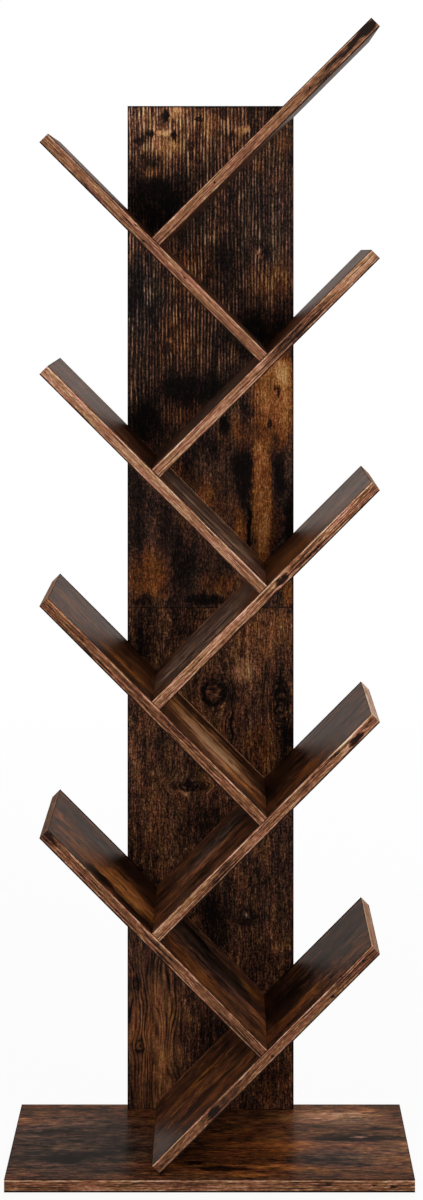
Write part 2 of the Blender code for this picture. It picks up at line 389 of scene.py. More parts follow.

# %% [markdown]
# Printed wood
# The boards are chipboard under a printed paper: old timber, dark brown with scorched and ochre places,
# saw marks, cracks and knots. A photograph of timber would do it, but a printed pattern repeats and needs
# a file. Here one number, the tone, says how light a place is, and another, the warmth, how orange it is.
# Layers of noise and marks are added up in them, and two ramps of browns turn them into colour.

# %% Browns
COOL_BROWNS = (
    (0.00, (0.0024, 0.0013, 0.0010)),
    (0.20, (0.0060, 0.0036, 0.0028)),
    (0.40, (0.0232, 0.0148, 0.0116)),
    (0.60, (0.0887, 0.0523, 0.0395)),
    (0.80, (0.2159, 0.1221, 0.0802)),
    (1.00, (0.5149, 0.3185, 0.2086)),
    (1.40, (0.8500, 0.6400, 0.4600)),
)
WARM_BROWNS = (
    (0.00, (0.0030, 0.0012, 0.0006)),
    (0.20, (0.0103, 0.0040, 0.0022)),
    (0.40, (0.0482, 0.0163, 0.0070)),
    (0.60, (0.1413, 0.0420, 0.0100)),
    (0.80, (0.3050, 0.0990, 0.0225)),
    (1.00, (0.5800, 0.2250, 0.0600)),
    (1.40, (0.9300, 0.6200, 0.2800)),
)
TONE_TOP = 1.4  # the tone of the lightest brown
OLIVE = (0.98, 1.04, 0.92, 1.0)
MAROON = (1.05, 0.92, 1.02, 1.0)
HUE_CONTRAST = 0.36, 0.64


def tone_ramp(tone, stops):
    """The colour of a tone, from stops that go up to TONE_TOP."""
    return ramp(tone / TONE_TOP, [(place / TONE_TOP, colour) for place, colour in stops])


def wood_colour(tone, warmth):
    return mix(warmth, tone_ramp(tone, COOL_BROWNS), tone_ramp(tone, WARM_BROWNS))


def tinted(colour, place, kind):
    """The colour turned to olive in some spots of this kind of noise, and to maroon in others."""
    hue = ease(noise(place, kind), *HUE_CONTRAST)
    return colour * mix(hue, OLIVE, MAROON)


print("browns in each ramp:", len(COOL_BROWNS))

# %% [markdown]
# The grain has layers of unlike size. Clouds and mottling make light and dark areas, bands and streaks run
# along the board, grit makes it look dry, and splinters and cracks only darken. The saw left ripples about
# 5 mm apart. Only their worn, speckled crests show, so the ripple is multiplied by two noises: one that
# breaks each line into specks, and one that lets whole patches of lines fade.

# %% Sizes of the grain
Grain = namedtuple("Grain", "cloud band mottle streak splinter crack saw grit", defaults=(0.0,) * 8)
CLOUD = Noise((190, 75, 150))
BAND = Noise((260, 24, 60))
MOTTLE = Noise((38, 15, 30), 4.0, 0.6)
STREAK = Noise((170, 5.5, 30), 3.0, 0.6)
SPLINTER = Noise((80, 9, 30), 4.0, 0.75)
SPLINTER_SHOWS = 0.43, 0.38  # noise values between which a splinter comes up
CRACK = Noise((120, 2.6, 30))
CRACK_SHOWS = 0.34, 0.27  # the same for a crack
FIBRE = Noise((8.0, 1.7, 2.6), 2.0, 0.75)
FIBRE_SHARE = 0.6
DUST = Noise((2.6, 1.9, 2.2), 1.0)
DUST_SHARE = 0.5
print("layers:", Grain._fields)

# %% Saw lines
Saw = namedtuple("Saw", "pitch wobble speck")
ROUGH_SAW = Saw(4.5, 6.0, Noise((16, 2.2, 4.0), 2.0, 0.6))
SAW_SWAY = Noise((90, 24, 40), 1.0)
SAW_UNEVEN = Noise((240, 8, 40), 1.0)
SAW_JITTER = 6.0  # millimetres, by which the lines' spacing varies
SAW_MEAN = 0.18  # of the worn crests, taken off them
SPECK_SHOWS = 0.25, 0.75
SPECK_SHARE = 0.8
WORN = Noise((30, 12, 20))
WORN_SHOWS = 0.30, 0.62
WORN_SHARE = 0.6


def saw_lines(place, saw):
    """Lines along the board, a pitch apart and bent by a wobble, in millimetres, about 0 in the mean."""
    bent = axis(place, "Y") + swing(place, SAW_SWAY) * saw.wobble + swing(place, SAW_UNEVEN) * SAW_JITTER
    turns = bent * (2 * math.pi / saw.pitch)
    crest = turns.sum("SINE", turns) * 0.5 + 0.5
    specks = partly(ease(noise(place, saw.speck), *SPECK_SHOWS), SPECK_SHARE)
    worn = partly(ease(noise(place, WORN), *WORN_SHOWS), WORN_SHARE)
    return crest * crest * specks * worn - SAW_MEAN


print("saw lines every", ROUGH_SAW.pitch, "mm")

# %% Grain layers
SAW_SHOWS = 0.02, 0.60  # tones between which the saw lines come up
SAW_CALMS = 1.05, 0.70  # tones between which they weaken again
SAW_CALM_SHARE = 0.5


def wood_layers(place, saw=ROUGH_SAW, fibre=FIBRE):
    """A board's layers by name. The place is in millimetres, along the grain first."""
    return {
        "cloud": swing(place, CLOUD),
        "band": swing(place, BAND),
        "mottle": swing(place, MOTTLE),
        "streak": swing(place, STREAK),
        "splinter": 0.0 - ease(noise(place, SPLINTER), *SPLINTER_SHOWS),
        "crack": 0.0 - ease(noise(place, CRACK), *CRACK_SHOWS),
        "saw": saw_lines(place, saw),
        "grit": swing(place, fibre) * FIBRE_SHARE + swing(place, DUST) * DUST_SHARE,
    }


def grain_tone(level, layers, grain):
    """The layers added up, each with its share. Saw lines fade in dark wood and weaken in light wood."""
    tone = level
    for name, share in grain._asdict().items():
        if not share:
            continue
        layer = layers[name]
        if name == "saw":
            shown = ease(tone, *SAW_SHOWS) * partly(ease(tone, *SAW_CALMS), SAW_CALM_SHARE)
            layer = layer * shown
        tone = tone + layer * share
    return tone


print("saw lines show between tones", SAW_SHOWS)

# %% [markdown]
# Marks
# A mark is a soft-edged oval in millimetres: a scorched place, a bleached patch, a crack or a knot's heart.
# Its push is added to the tone, so it darkens or lightens what is there and keeps the grain, and its warm
# is added to the warmth. Its core is the share of the oval where it has its full strength. Noise shifts the
# place first, by some millimetres each way, so that no mark keeps the outline of an oval.

# %% Marks
Mark = namedtuple("Mark", "along across long wide push warm core", defaults=(0.0, 0.25))
MARK_RIM = 1.15


def ragged(place, tear, shift):
    """The place shifted by this kind of noise, as far as shift says, for marks and lines that are torn."""
    each_way = noise(place, tear, "Color") - (NOISE_MEAN, NOISE_MEAN, NOISE_MEAN)
    return place + each_way * shift


def oval_distance(place, mark):
    """0 in the middle of a mark or knot and 1 on its oval."""
    return vector_length((place - (mark.along, mark.across, 0.0)) * (1 / mark.long, 1 / mark.wide, 0.0))


def mark_mask(place, mark):
    """1 in a mark's core, and 0 outside its rim."""
    return ease(oval_distance(place, mark), MARK_RIM, mark.core)


def add_marks(tone, warmth, place, marks):
    for mark in marks:
        mask = mark_mask(place, mark)
        tone = tone + mask * mark.push
        if mark.warm:
            warmth = warmth + mask * mark.warm
    return tone, warmth


print("a mark has:", Mark._fields)

# %% [markdown]
# Knots
# Where a branch left the tree, the grain bends round it and the year rings show as ovals. The bend is made
# first, by moving the place towards the knot before the noises read it, so that their lines swerve. The
# rings come after, as a cosine of the distance.

# %% Knots
Knot = namedtuple("Knot", "along across long wide rings push")
KNOT_REACH = 2.2
KNOT_SWERVE = 0.75
KNOT_RING_PUSH = 0.15
KNOT_INSIDE = 1.3, 0.7  # distances between which a knot's rings come up


def swerve(place, knots):
    """The place with the grain's lines led round each knot."""
    bent = place
    for knot in knots:
        near = ease(oval_distance(place, knot), KNOT_REACH, 0.0)
        inward = (knot.along, knot.across, 0.0) - place
        bent = bent + scaled(inward * (0.0, KNOT_SWERVE, 0.0), near)
    return bent


def add_knots(tone, place, knots):
    for knot in knots:
        distance = oval_distance(place, knot)
        turns = distance * (2 * math.pi * knot.rings)
        rings = turns.sum("COSINE", turns) * -KNOT_RING_PUSH
        tone = tone + ease(distance, *KNOT_INSIDE) * (rings + knot.push)
    return tone


print("a knot has:", Knot._fields)

# %% [markdown]
# The trunk
# Two boards, one above the other, printed with rough-sawn timber whose saw marks run upright. The upper
# one has a bleached ochre head with black knots, a scorched middle and an orange stripe low on its right.
# The lower one is warmer and calmer, with ring-shaped knots. At its foot the same ripple, wavier and dark
# instead of light, gives year rings. The marks are in millimetres above the floor and from the trunk's
# middle line, the left being negative.

# %% Upper trunk marks
UPPER_TRUNK_MARKS = (
    Mark(1304, -38, 58, 100, 0.24, 0.25),
    Mark(1332, -50, 13, 22, 0.36, 0.20),
    Mark(1283, -60, 15, 28, 0.18, 0.15),
    Mark(1304, -62, 6, 11, 0.50, 0.20, 0.4),
    Mark(1316, 8, 26, 34, 0.12, 0.20),
    Mark(1306, 40, 7, 22, 0.16, 0.20),
    Mark(1307, 46, 6, 8, 0.38, 0.20, 0.4),
    Mark(1250, -76, 9, 19, 0.24, 0.40),
    Mark(1287, 97, 24, 18, 0.16, 0.35),
    Mark(1258, 62, 12, 14, 0.10, 0.40),
    Mark(1325, -59, 11, 6, -0.85, 0.0, 0.3),
    Mark(1302, -79, 8, 9, -0.60, 0.0, 0.2),
    Mark(1292, -91, 8, 14, -0.50, 0.0, 0.2),
    Mark(1298, -48, 9, 6, -0.70, 0.0, 0.2),
    Mark(1322, -15, 3.5, 9, -0.46, 0.0, 0.3),
    Mark(1328, 15, 10, 11, -0.28),
    Mark(1281, -20, 30, 12, -0.22),
    Mark(1296, 26, 12, 10, -0.18),
    Mark(1330, 92, 14, 22, -0.22),
    Mark(1268, -83, 13, 13, -0.30),
    Mark(1214, -72, 50, 60, -0.34),
    Mark(1190, 70, 70, 46, -0.04, -0.20),
    Mark(1140, 20, 40, 34, -0.14, -0.10),
    Mark(1147, 64, 6, 4, 0.42, 0.3, 0.5),
    Mark(1139, 68, 5, 3, 0.32, 0.3, 0.5),
    Mark(1143, 72, 12, 9, -0.20),
    Mark(1106, 84, 30, 38, 0.22, 0.45),
    Mark(1120, -30, 52, 46, 0.06, 0.40),
    Mark(1095, -79, 22, 8, 0.18, 0.20),
    Mark(1080, -88, 70, 40, -0.06, -0.40),
    Mark(1100, -98, 60, 16, -0.16),
    Mark(1036, 66, 38, 58, -0.28),
    Mark(1028, -44, 56, 46, 0.08, 0.35),
    Mark(1029, -52, 6, 5, 0.30, 0.30),
    Mark(963, -22, 27, 62, -0.33),
    Mark(935, -30, 24, 40, 0.06, 0.40),
    Mark(920, -88, 40, 34, -0.32),
    Mark(955, 88, 86, 40, 0.46, 1.20),
    Mark(990, 94, 24, 18, 0.21, 0.30),
    Mark(962, 90, 12, 2.6, -0.60, 0.0, 0.4),
    Mark(967, 86, 5, 3.5, -0.45, 0.0, 0.4),
    Mark(919, 77, 5, 3, -0.45, 0.0, 0.4),
    Mark(906, 69, 12, 9, -0.14),
    Mark(940, 48, 20, 16, -0.18),
    Mark(905, 38, 36, 34, 0.14, 0.50),
    Mark(916, 18, 16, 9, -0.46, 0.0, 0.3),
    Mark(888, 2, 20, 26, -0.16),
    Mark(856, 43, 46, 17, -0.30, 0.0, 0.5),
    Mark(822, 67, 100, 16, 0.43, 1.20, 0.5),
    Mark(782, 40, 36, 13, 0.30, 0.90),
    Mark(784, 78, 34, 20, 0.14, 0.90),
    Mark(782, 51, 44, 2.6, -0.70, 0.0, 0.4),
    Mark(850, 92, 40, 9, -0.26),
    Mark(866, 103, 36, 8, 0.16),
    Mark(786, 104, 44, 8, -0.36),
    Mark(812, -8, 48, 44, 0.12, 0.50),
    Mark(852, -40, 26, 26, 0.06, 0.60),
    Mark(790, -60, 40, 16, -0.16),
    Mark(800, -98, 100, 20, -0.24),
    Mark(736, -38, 32, 20, -0.20),
    Mark(717, -82, 44, 36, 0.22, 0.80),
    Mark(708, 10, 20, 30, 0.12, 0.60),
    Mark(687, -4, 9, 32, -0.40, 0.0, 0.3),
    Mark(687, -90, 8, 15, -0.34),
    Mark(692, -58, 5, 7, 0.26, 0.4),
    Mark(697, 101, 26, 11, 0.22, 0.90),
)
print("upper trunk marks:", len(UPPER_TRUNK_MARKS))

# %% Lower trunk marks
LOWER_TRUNK_MARKS = (
    Mark(655, -30, 34, 26, -0.16),
    Mark(650, -84, 50, 24, -0.06),
    Mark(652, 66, 46, 50, 0.15, 0.20),
    Mark(628, 78, 18, 2.0, 0.20),
    Mark(594, 44, 24, 22, 0.35, 0.10),
    Mark(626, -92, 46, 26, -0.16),
    Mark(521, 28, 36, 2.0, -0.45, 0.0, 0.4),
    Mark(490, 64, 42, 32, 0.04, 0.30),
    Mark(510, 102, 26, 12, -0.30),
    Mark(480, -80, 60, 46, 0.04),
    Mark(431, -30, 4, 5, 0.46, 0.2, 0.4),
    Mark(398, 0, 30, 40, -0.16),
    Mark(400, -70, 70, 36, 0.12, 0.10),
    Mark(267, 5, 54, 22, -0.30),
    Mark(262, 60, 70, 44, 0.10),
    Mark(270, 48, 16, 14, -0.26, 0.0, 0.3),
    Mark(272, 47, 6, 6, 0.50, -0.60, 0.3),
    Mark(229, 92, 7, 16, 0.18, 0.10),
    Mark(330, -86, 90, 26, -0.10),
    Mark(120, -70, 120, 52, 0.15, 0.20),
    Mark(110, 10, 60, 46, -0.22),
    Mark(60, 84, 48, 40, -0.10, 0.20),
)
LOWER_TRUNK_KNOTS = (
    Knot(565, 6, 22, 22, 1.6, -0.22),
    Knot(549, 93, 34, 15, 3.2, -0.08),
    Knot(443, -29, 6, 24, 1.0, -0.24),
    Knot(182, -98, 9, 6, 1.5, -0.20),
    Knot(100, -93, 10, 7, 1.5, -0.24),
)
print("lower trunk marks:", len(LOWER_TRUNK_MARKS), "knots:", len(LOWER_TRUNK_KNOTS))

# %% Trunk boards
# A board's saw lines show in its sawn oval, and its grit is weaker there by the share calm.
BOARD_FIELDS = "level warmth grain marks knots sawn calm saw fibre"
Board = namedtuple("Board", BOARD_FIELDS, defaults=(ROUGH_SAW, FIBRE))
TRUNK_BOARDS = {
    "upper_trunk_board": Board(
        level=0.47,
        warmth=0.35,
        grain=Grain(cloud=0.45, mottle=0.75, streak=0.35, crack=0.08, saw=1.05, grit=1.70),
        marks=UPPER_TRUNK_MARKS,
        knots=(),
        sawn=Mark(1230, -50, 400, 200, 1.0, 0.0, 0.5),
        calm=0.0,
    ),
    "lower_trunk_board": Board(
        level=0.485,
        warmth=0.54,
        grain=Grain(cloud=0.35, band=0.15, mottle=0.70, streak=0.80, crack=0.20, saw=-0.68, grit=2.20),
        marks=LOWER_TRUNK_MARKS,
        knots=LOWER_TRUNK_KNOTS,
        sawn=Mark(120, -78, 150, 50, 1.0, 0.0, 0.5),
        calm=0.55,
        saw=Saw(5.6, 34.0, Noise((120, 9.0, 4.0), 2.0, 0.6)),
        fibre=FIBRE._replace(size=(13.0, 1.7, 2.6)),
    ),
}
print("trunk boards:", list(TRUNK_BOARDS))

# %% Trunk finish
TRUNK_SPECULAR = 0.12
TRUNK_SHEEN = Sheen(0.58, 0.25, 0.30, 0.0005)
TRUNK_GRIT_RELIEF = 0.8  # of the grit, against the saw lines
TRUNK_TEAR = Noise((15, 8, 10), 3.0, 0.65)
TRUNK_TEAR_SHIFT = (20, 12, 0)
TRUNK_HUE = Noise((26, 9, 20), 3.0, 0.65)
TRUNK_WARMTH_SWING = 0.9
TRUNK_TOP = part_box("upper_trunk_board")[1].z * MM
TRUNK_BORDER = 2.6  # millimetres of darker print along the trunk's sides and top
TRUNK_BORDER_SWING = 4.0  # by which the mottling varies that width
TRUNK_BORDER_PUSH = 0.35
FACE_MARGIN = 0.001  # from a board's back and from its front, between which the marks come up


def upright_place(metres):
    """A place in millimetres, upright first, then across the trunk, then from front to rear."""
    turned = metres.node(
        "ShaderNodeCombineXYZ",
        {},
        {0: axis(metres, "Z"), 1: axis(metres, "X"), 2: axis(metres, "Y")},
    )
    return turned * (MM, MM, MM)


def from_trunk_border(place, half_width):
    """How far a place is from the trunk's sides or from its top, whichever is nearer."""
    across = axis(place, "Y")
    from_side = half_width - across.sum("ABSOLUTE", across)
    return from_side.sum("MINIMUM", from_side, TRUNK_TOP - axis(place, "X"))


def trunk_finish(name, board):
    low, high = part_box(name)
    material, shader, metres = new_finish("rustic_" + name, Specular_IOR_Level=TRUNK_SPECULAR)
    place = upright_place(metres)
    bent = swerve(place, board.knots)
    torn = ragged(place, TRUNK_TEAR, TRUNK_TEAR_SHIFT)
    layers = wood_layers(bent, board.saw, board.fibre)
    sawn = mark_mask(place, board.sawn)
    layers["saw"] = layers["saw"] * sawn
    layers["grit"] = layers["grit"] * (1.0 - sawn * board.calm)
    warmth = board.warmth + layers["mottle"] * TRUNK_WARMTH_SWING
    pushed, warmth = add_marks(0.0, warmth, torn, board.marks)
    pushed = add_knots(pushed, torn, board.knots)
    in_front = ease(axis(metres, "Y"), high.y - FACE_MARGIN, low.y + FACE_MARGIN)
    tone = grain_tone(board.level + pushed * in_front, layers, board.grain)
    from_border = from_trunk_border(place, high.x * MM) + layers["mottle"] * TRUNK_BORDER_SWING
    tone = tone - ease(from_border, TRUNK_BORDER, 0.0) * TRUNK_BORDER_PUSH
    colour = tinted(wood_colour(tone, warmth), bent, TRUNK_HUE)
    height = layers["saw"] + layers["grit"] * TRUNK_GRIT_RELIEF
    feed_finish(shader, colour, TRUNK_SHEEN, layers["grit"], height)
    put_on(name, material)


for name, board in TRUNK_BOARDS.items():
    trunk_finish(name, board)
print("trunk boards finished:", len(TRUNK_BOARDS))

# %% [markdown]
# Shelves
# The shelves are printed with the same timber, planed smooth, with the grain along each board. Their
# surface is satin: seen from the front, they mirror the pale screen near their outer ends and the dark
# trunk near their inner ones. The marks are in millimetres from a shelf's lower end and from its middle
# line, the front being negative.

# %% Shelf marks
SHELF_MARKS = {
    "left_shelf_1": (
        Mark(239, -40, 73, 46, 0.38, 0.50),
        Mark(290, -84, 29, 14, -0.50, 0.0, 0.5),
        Mark(229, -92, 37, 12, -0.50, 0.0, 0.5),
        Mark(250, 60, 49, 30, -0.26),
        Mark(320, 60, 61, 26, -0.14),
        Mark(332, -60, 49, 34, 0.14, 0.20),
        Mark(122, -70, 73, 30, 0.18, 0.40),
        Mark(85, 40, 98, 60, -0.16),
        Mark(24, 60, 37, 26, 0.16, 0.40),
        Mark(100, 20, 110, 90, 0.04, -0.55),
        Mark(110, -20, 70, 8, -0.26, 0.0, 0.4),
        Mark(70, 28, 60, 7, -0.24, 0.0, 0.4),
        Mark(140, 62, 60, 7, -0.24, 0.0, 0.4),
    ),
    "left_shelf_2": (
        Mark(232, -50, 73, 24, 0.24, 0.50),
        Mark(232, 40, 73, 50, 0.04),
        Mark(330, 0, 60, 110, 0.10, -0.20),
        # Partly print, partly painted light: lighter where the right shelf in front shades this stretch.
        Mark(92, -10, 90, 96, 0.61, -0.15),
        Mark(100, 30, 80, 7, -0.30, 0.0, 0.4),
        Mark(70, 60, 60, 6, -0.40, 0.0, 0.4),
        Mark(125, 58, 50, 5, -0.45, 0.0, 0.4),
        Mark(65, -40, 60, 8, -0.26, 0.2, 0.4),
        Mark(150, -62, 44, 8, -0.30, 0.2, 0.4),
        Mark(180, 20, 60, 60, 0.14, 0.10),
        Mark(110, 84, 110, 10, -0.30),
        Mark(37, -60, 49, 18, 0.10, 0.50),
    ),
    "right_shelf_1": (
        Mark(268, 10, 110, 14, -0.30),
        Mark(293, 70, 110, 20, -0.12),
        Mark(244, -60, 85, 20, 0.10, 0.30),
        Mark(220, -96, 73, 10, -0.30),
        Mark(73, 20, 73, 26, 0.12, 0.20),
        # Painted shade: darker across the whole depth, where the notch by the trunk's side is shaded.
        Mark(200, 0, 60, 90, -0.20),
        Mark(236, 0, 50, 120, -0.14),
        Mark(325, 0, 90, 120, -0.10, -0.30),
        Mark(110, -80, 98, 14, 0.10, 0.30),
        Mark(85, -50, 85, 14, -0.20),
    ),
    "right_shelf_2": (
        Mark(244, 20, 98, 20, -0.24),
        Mark(232, -60, 98, 18, 0.12, 0.50),
        Mark(98, 0, 73, 50, 0.24, -0.20),
        # Painted shade: darker across the whole depth, where the notch by the trunk's side is shaded.
        Mark(190, 0, 50, 90, -0.20),
        Mark(236, 0, 50, 120, -0.18),
        Mark(330, 0, 70, 110, -0.12, -0.20),
        Mark(110, -70, 85, 16, -0.24),
        Mark(125, 40, 100, 50, 0.02, -0.65),
        Mark(150, 10, 56, 10, -0.22, -0.20, 0.4),
    ),
    "right_shelf_3": (
        Mark(232, -50, 85, 30, 0.12, 0.40),
        Mark(90, 0, 105, 120, 0.26, -0.90, 0.6),
        Mark(85, -50, 85, 14, -0.26),
        Mark(100, 30, 85, 14, -0.18),
        Mark(90, 76, 85, 12, -0.24),
        Mark(320, 0, 70, 110, 0.10, -0.20),
    ),
    "right_shelf_4": (
        Mark(110, 0, 110, 110, 0.10, -0.80),
        Mark(110, 20, 110, 14, -0.16),
    ),
    "left_shelf_3": (
        Mark(98, 0, 105, 120, 0.24, -0.90, 0.6),
        Mark(98, -60, 98, 14, -0.26),
        Mark(110, 10, 98, 14, -0.18),
        Mark(120, 60, 90, 16, -0.22),
        Mark(300, 0, 90, 110, 0.12, -0.20),
    ),
}
print("shelves with marks:", len(SHELF_MARKS))

# %% Rear lines
# A painted highlight along a shelf's rear border where it meets the trunk, and painted shade past the
# trunk.
REAR_LINE = 0.008  # width of the border where a shelf meets the trunk
REAR_SHADE = 0.45  # by which it is darker past the trunk
REAR_HIGHLIGHT = 0.60  # by which it is lighter than that at the trunk
STRONG_REAR_HIGHLIGHT = 1.10
STRONG_REAR_LINES = ("left_shelf_2", "left_shelf_3", "left_shelf_4")
REAR_HIGHLIGHT_ENDS, REAR_HIGHLIGHT_FULL = 0.012, 0.008  # past the place where the rear strip starts
TRUNK_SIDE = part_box("lower_trunk_board")[1].x
BEHIND_TRUNK = 0.020  # how far a rear strip starts behind the trunk's side


def behind_trunk(shelf):
    """How far along a shelf its rear strip starts, just before the shelf passes the trunk's side."""
    return (TRUNK_SIDE - BEHIND_TRUNK + abs(shelf.foot.x)) / math.cos(SLANT)


def rear_line(shelf, own):
    """A mask of a shelf's rear border, and the painted highlight and shade that are added to the tone
    there.
    """
    rear_edge = shelf.depth / 2
    border = ease(axis(own, "Y"), rear_edge - REAR_LINE, rear_edge - REAR_LINE / 2)
    start = behind_trunk(shelf)
    at_trunk = ease(axis(own, "X"), start + REAR_HIGHLIGHT_ENDS, start + REAR_HIGHLIGHT_FULL)
    light = STRONG_REAR_HIGHLIGHT if shelf.name in STRONG_REAR_LINES else REAR_HIGHLIGHT
    return border, border * (at_trunk * light - REAR_SHADE)


print("strong rear lines:", len(STRONG_REAR_LINES))

# %% Shelf finish
SHELF_LEVEL, SHELF_WARMTH = 0.50, 0.75
SHELF_WARMTH_MOTTLE, SHELF_WARMTH_BAND = 0.7, 0.6  # how much the warmth varies with those layers
SHELF_GRAIN = Grain(cloud=0.25, band=0.45, mottle=0.80, streak=0.50, splinter=0.44, crack=0.12, grit=0.85)
SHELF_FLECK = Noise((24, 7, 8), 3.0, 0.75)
SHELF_BLOTCH = Noise((20, 16, 20), 4.0, 0.65)
SHELF_TEAR = Noise((34, 18, 20), 3.0, 0.65)
SHELF_TEAR_SHIFT = (30, 40, 0)
SHELF_HUE = Noise((70, 16, 30), 3.0, 0.65)
SHELF_SPECULAR = 0.16
SHELF_SHEEN = Sheen(0.34, 0.30, 0.06, 0.0003)
REAR_DULLNESS = 5 / 3  # of the rear border, in swings of the shelf's roughness
SHELF_SPACING = 900.0  # millimetres of pattern from one shelf to the next
UNDERSIDE_SHIFT = 450.0  # the same from a shelf's upper face to its underside
UNDERSIDE = 0.001, -0.001  # heights between which the upper face's pattern gives way to the underside's


def shelf_axes(shelf, metres):
    """A place in a shelf's own axes, in metres."""
    turned = metres.node(
        "ShaderNodeMapping",
        {"vector_type": "TEXTURE"},
        {"Vector": metres, "Location": shelf.foot, "Rotation": (0, -shelf.side * SLANT, 0)},
    )
    return turned * (shelf.side, 1.0, 1.0)


def shelf_place(own, number):
    """A place in the pattern that all the shelves share, in millimetres."""
    underside = ease(axis(own, "Z"), *UNDERSIDE)
    shift = own.node(
        "ShaderNodeCombineXYZ", {}, {0: underside * UNDERSIDE_SHIFT, 1: 0.0, 2: number * SHELF_SPACING}
    )
    return own * (MM, MM, MM) + shift


def shelf_finish(shelf, number):
    material, shader, metres = new_finish("rustic_" + shelf.name, Specular_IOR_Level=SHELF_SPECULAR)
    own = shelf_axes(shelf, metres)
    place = shelf_place(own, number)
    torn = ragged(place, SHELF_TEAR, SHELF_TEAR_SHIFT)
    layers = wood_layers(torn)
    layers["grit"] = swing(place, SHELF_FLECK)
    layers["mottle"] = swing(torn, SHELF_BLOTCH)
    warmth = SHELF_WARMTH + layers["mottle"] * SHELF_WARMTH_MOTTLE + layers["band"] * SHELF_WARMTH_BAND
    tone = grain_tone(SHELF_LEVEL, layers, SHELF_GRAIN)
    tone, warmth = add_marks(tone, warmth, torn, SHELF_MARKS.get(shelf.name, ()))
    border, border_push = rear_line(shelf, own)
    colour = tinted(wood_colour(tone + border_push, warmth), place, SHELF_HUE)
    uneven = layers["streak"] + border * REAR_DULLNESS
    feed_finish(shader, colour, SHELF_SHEEN, uneven, layers["grit"] + layers["streak"])
    put_on(shelf.name, material)


for number, shelf in enumerate(SHELVES):
    shelf_finish(shelf, number)
print("shelves finished:", len(SHELVES))

# %% [markdown]
# Base
# The base lies flat, with its grain from side to side. It is a redder, livelier board, with smoky streaks
# on its left and a tan stretch at its right rear, and the trunk's foot mirrors in it. Its marks are in
# millimetres from its middle, first to the right, then to the rear.

# %% Base marks
BASE_MARKS = (
    Mark(-170, -10, 120, 130, -0.06, -0.60, 0.5),
    Mark(185, 0, 120, 130, 0.04, -0.35, 0.4),
    Mark(-160, 25, 70, 24, -0.18),
    Mark(-175, -62, 34, 18, -0.24, 0.0, 0.1),
    Mark(-110, -95, 50, 12, -0.18),
    Mark(-200, 90, 60, 20, 0.10),
    Mark(-60, 60, 60, 30, 0.08, 0.20),
    Mark(165, 80, 90, 38, 0.30, -0.10),
    Mark(170, 92, 60, 9, 0.16),
    Mark(180, 8, 70, 12, -0.30, 0.0, 0.4),
    Mark(190, 12, 14, 4, 0.50, -0.40, 0.4),
    Mark(95, -20, 50, 34, 0.06, 0.30),
    # Partly darker wood, partly painted shade: darker under the lowest right shelf.
    Mark(40, -55, 90, 66, -0.12, 0.10, 0.4),
    Mark(150, -60, 60, 34, -0.14, -0.40),
    Mark(20, -92, 34, 9, -0.34, 0.0, 0.4),
    Mark(-20, -72, 14, 7, -0.36, 0.0, 0.4),
    Mark(225, 40, 20, 8, -0.30),
    Mark(60, -112, 60, 6, 0.16, 0.20),
)
print("base marks:", len(BASE_MARKS))

# %% Base finish
BASE_LEVEL, BASE_WARMTH = 0.555, 0.80
BASE_WARMTH_SWING = 0.8  # how much the warmth varies with the mottling and with the bands
BASE_GRAIN = Grain(cloud=0.25, band=0.44, mottle=0.75, streak=0.50, splinter=0.20, crack=0.22, grit=1.40)
BASE_FLECK = Noise((18, 4, 8), 3.0, 0.75)
BASE_TEAR = Noise((30, 14, 20), 3.0, 0.65)
BASE_TEAR_SHIFT = (24, 20, 0)
BASE_HUE = Noise((60, 14, 30), 3.0, 0.65)
BASE_SPECULAR = 0.16
BASE_SHEEN = Sheen(0.26, 0.20, 0.08, 0.0004)


def base_finish():
    material, shader, metres = new_finish("rustic_base_board", Specular_IOR_Level=BASE_SPECULAR)
    place = metres * (MM, MM, MM)
    torn = ragged(place, BASE_TEAR, BASE_TEAR_SHIFT)
    layers = wood_layers(torn)
    layers["grit"] = swing(place, BASE_FLECK)
    warmth = BASE_WARMTH + (layers["mottle"] + layers["band"]) * BASE_WARMTH_SWING
    tone = grain_tone(BASE_LEVEL, layers, BASE_GRAIN)
    tone, warmth = add_marks(tone, warmth, torn, BASE_MARKS)
    colour = tinted(wood_colour(tone, warmth), place, BASE_HUE)
    feed_finish(shader, colour, BASE_SHEEN, layers["mottle"], layers["grit"] + layers["streak"])
    put_on("base_board", material)


base_finish()
print("base finished")

# %% [markdown]
# Edge strips
# The cut edges of the boards are covered with thin glued strips, printed a lighter, redder tan than the
# faces, with fine dark lines along them. They are separate pieces here: a strip 0.4 mm thick with eased
# arrises, which catch a line of light. A strip that lies in a joint is 0.2 mm thick, because boards are
# 0.3 mm apart there, and those in the trunk's seam keep light from shining through it. Each strip has its
# own stretch of one long pattern, because its mesh starts further along its own axis than the one before.

# %% Making a strip
STRIP_THICKNESS = 0.0004
JOINT_STRIP_THICKNESS = 0.0002  # fits between two boards
STRIP_ARRIS = 0.00025
STRIP_ARRIS_STEPS = 2
ROUND_PROFILE = 0.5  # of a bevel that follows a circle's arc
STRIP_SPACING = 1.0  # from the start of one strip's pattern to the next one's
strips = []
strip_starts = {}


def strip_mesh(name, start, length, width, thickness):
    """A flat strip that begins at this start along X, with the arrises of its outer face eased."""
    mesh = bpy.data.meshes.new(name)
    work = bmesh.new()
    middle = Matrix.Translation((start + length / 2, 0, thickness / 2))
    bmesh.ops.create_cube(work, size=1.0, matrix=middle @ Matrix.Diagonal((length, width, thickness, 1.0)))
    bmesh.ops.bevel(
        work,
        geom=[edge for edge in work.edges if all(v.co.z > thickness / 2 for v in edge.verts)],
        affect="EDGES",
        offset=min(STRIP_ARRIS, thickness / 2),
        segments=STRIP_ARRIS_STEPS,
        profile=ROUND_PROFILE,
    )
    work.to_mesh(mesh)
    work.free()
    return mesh


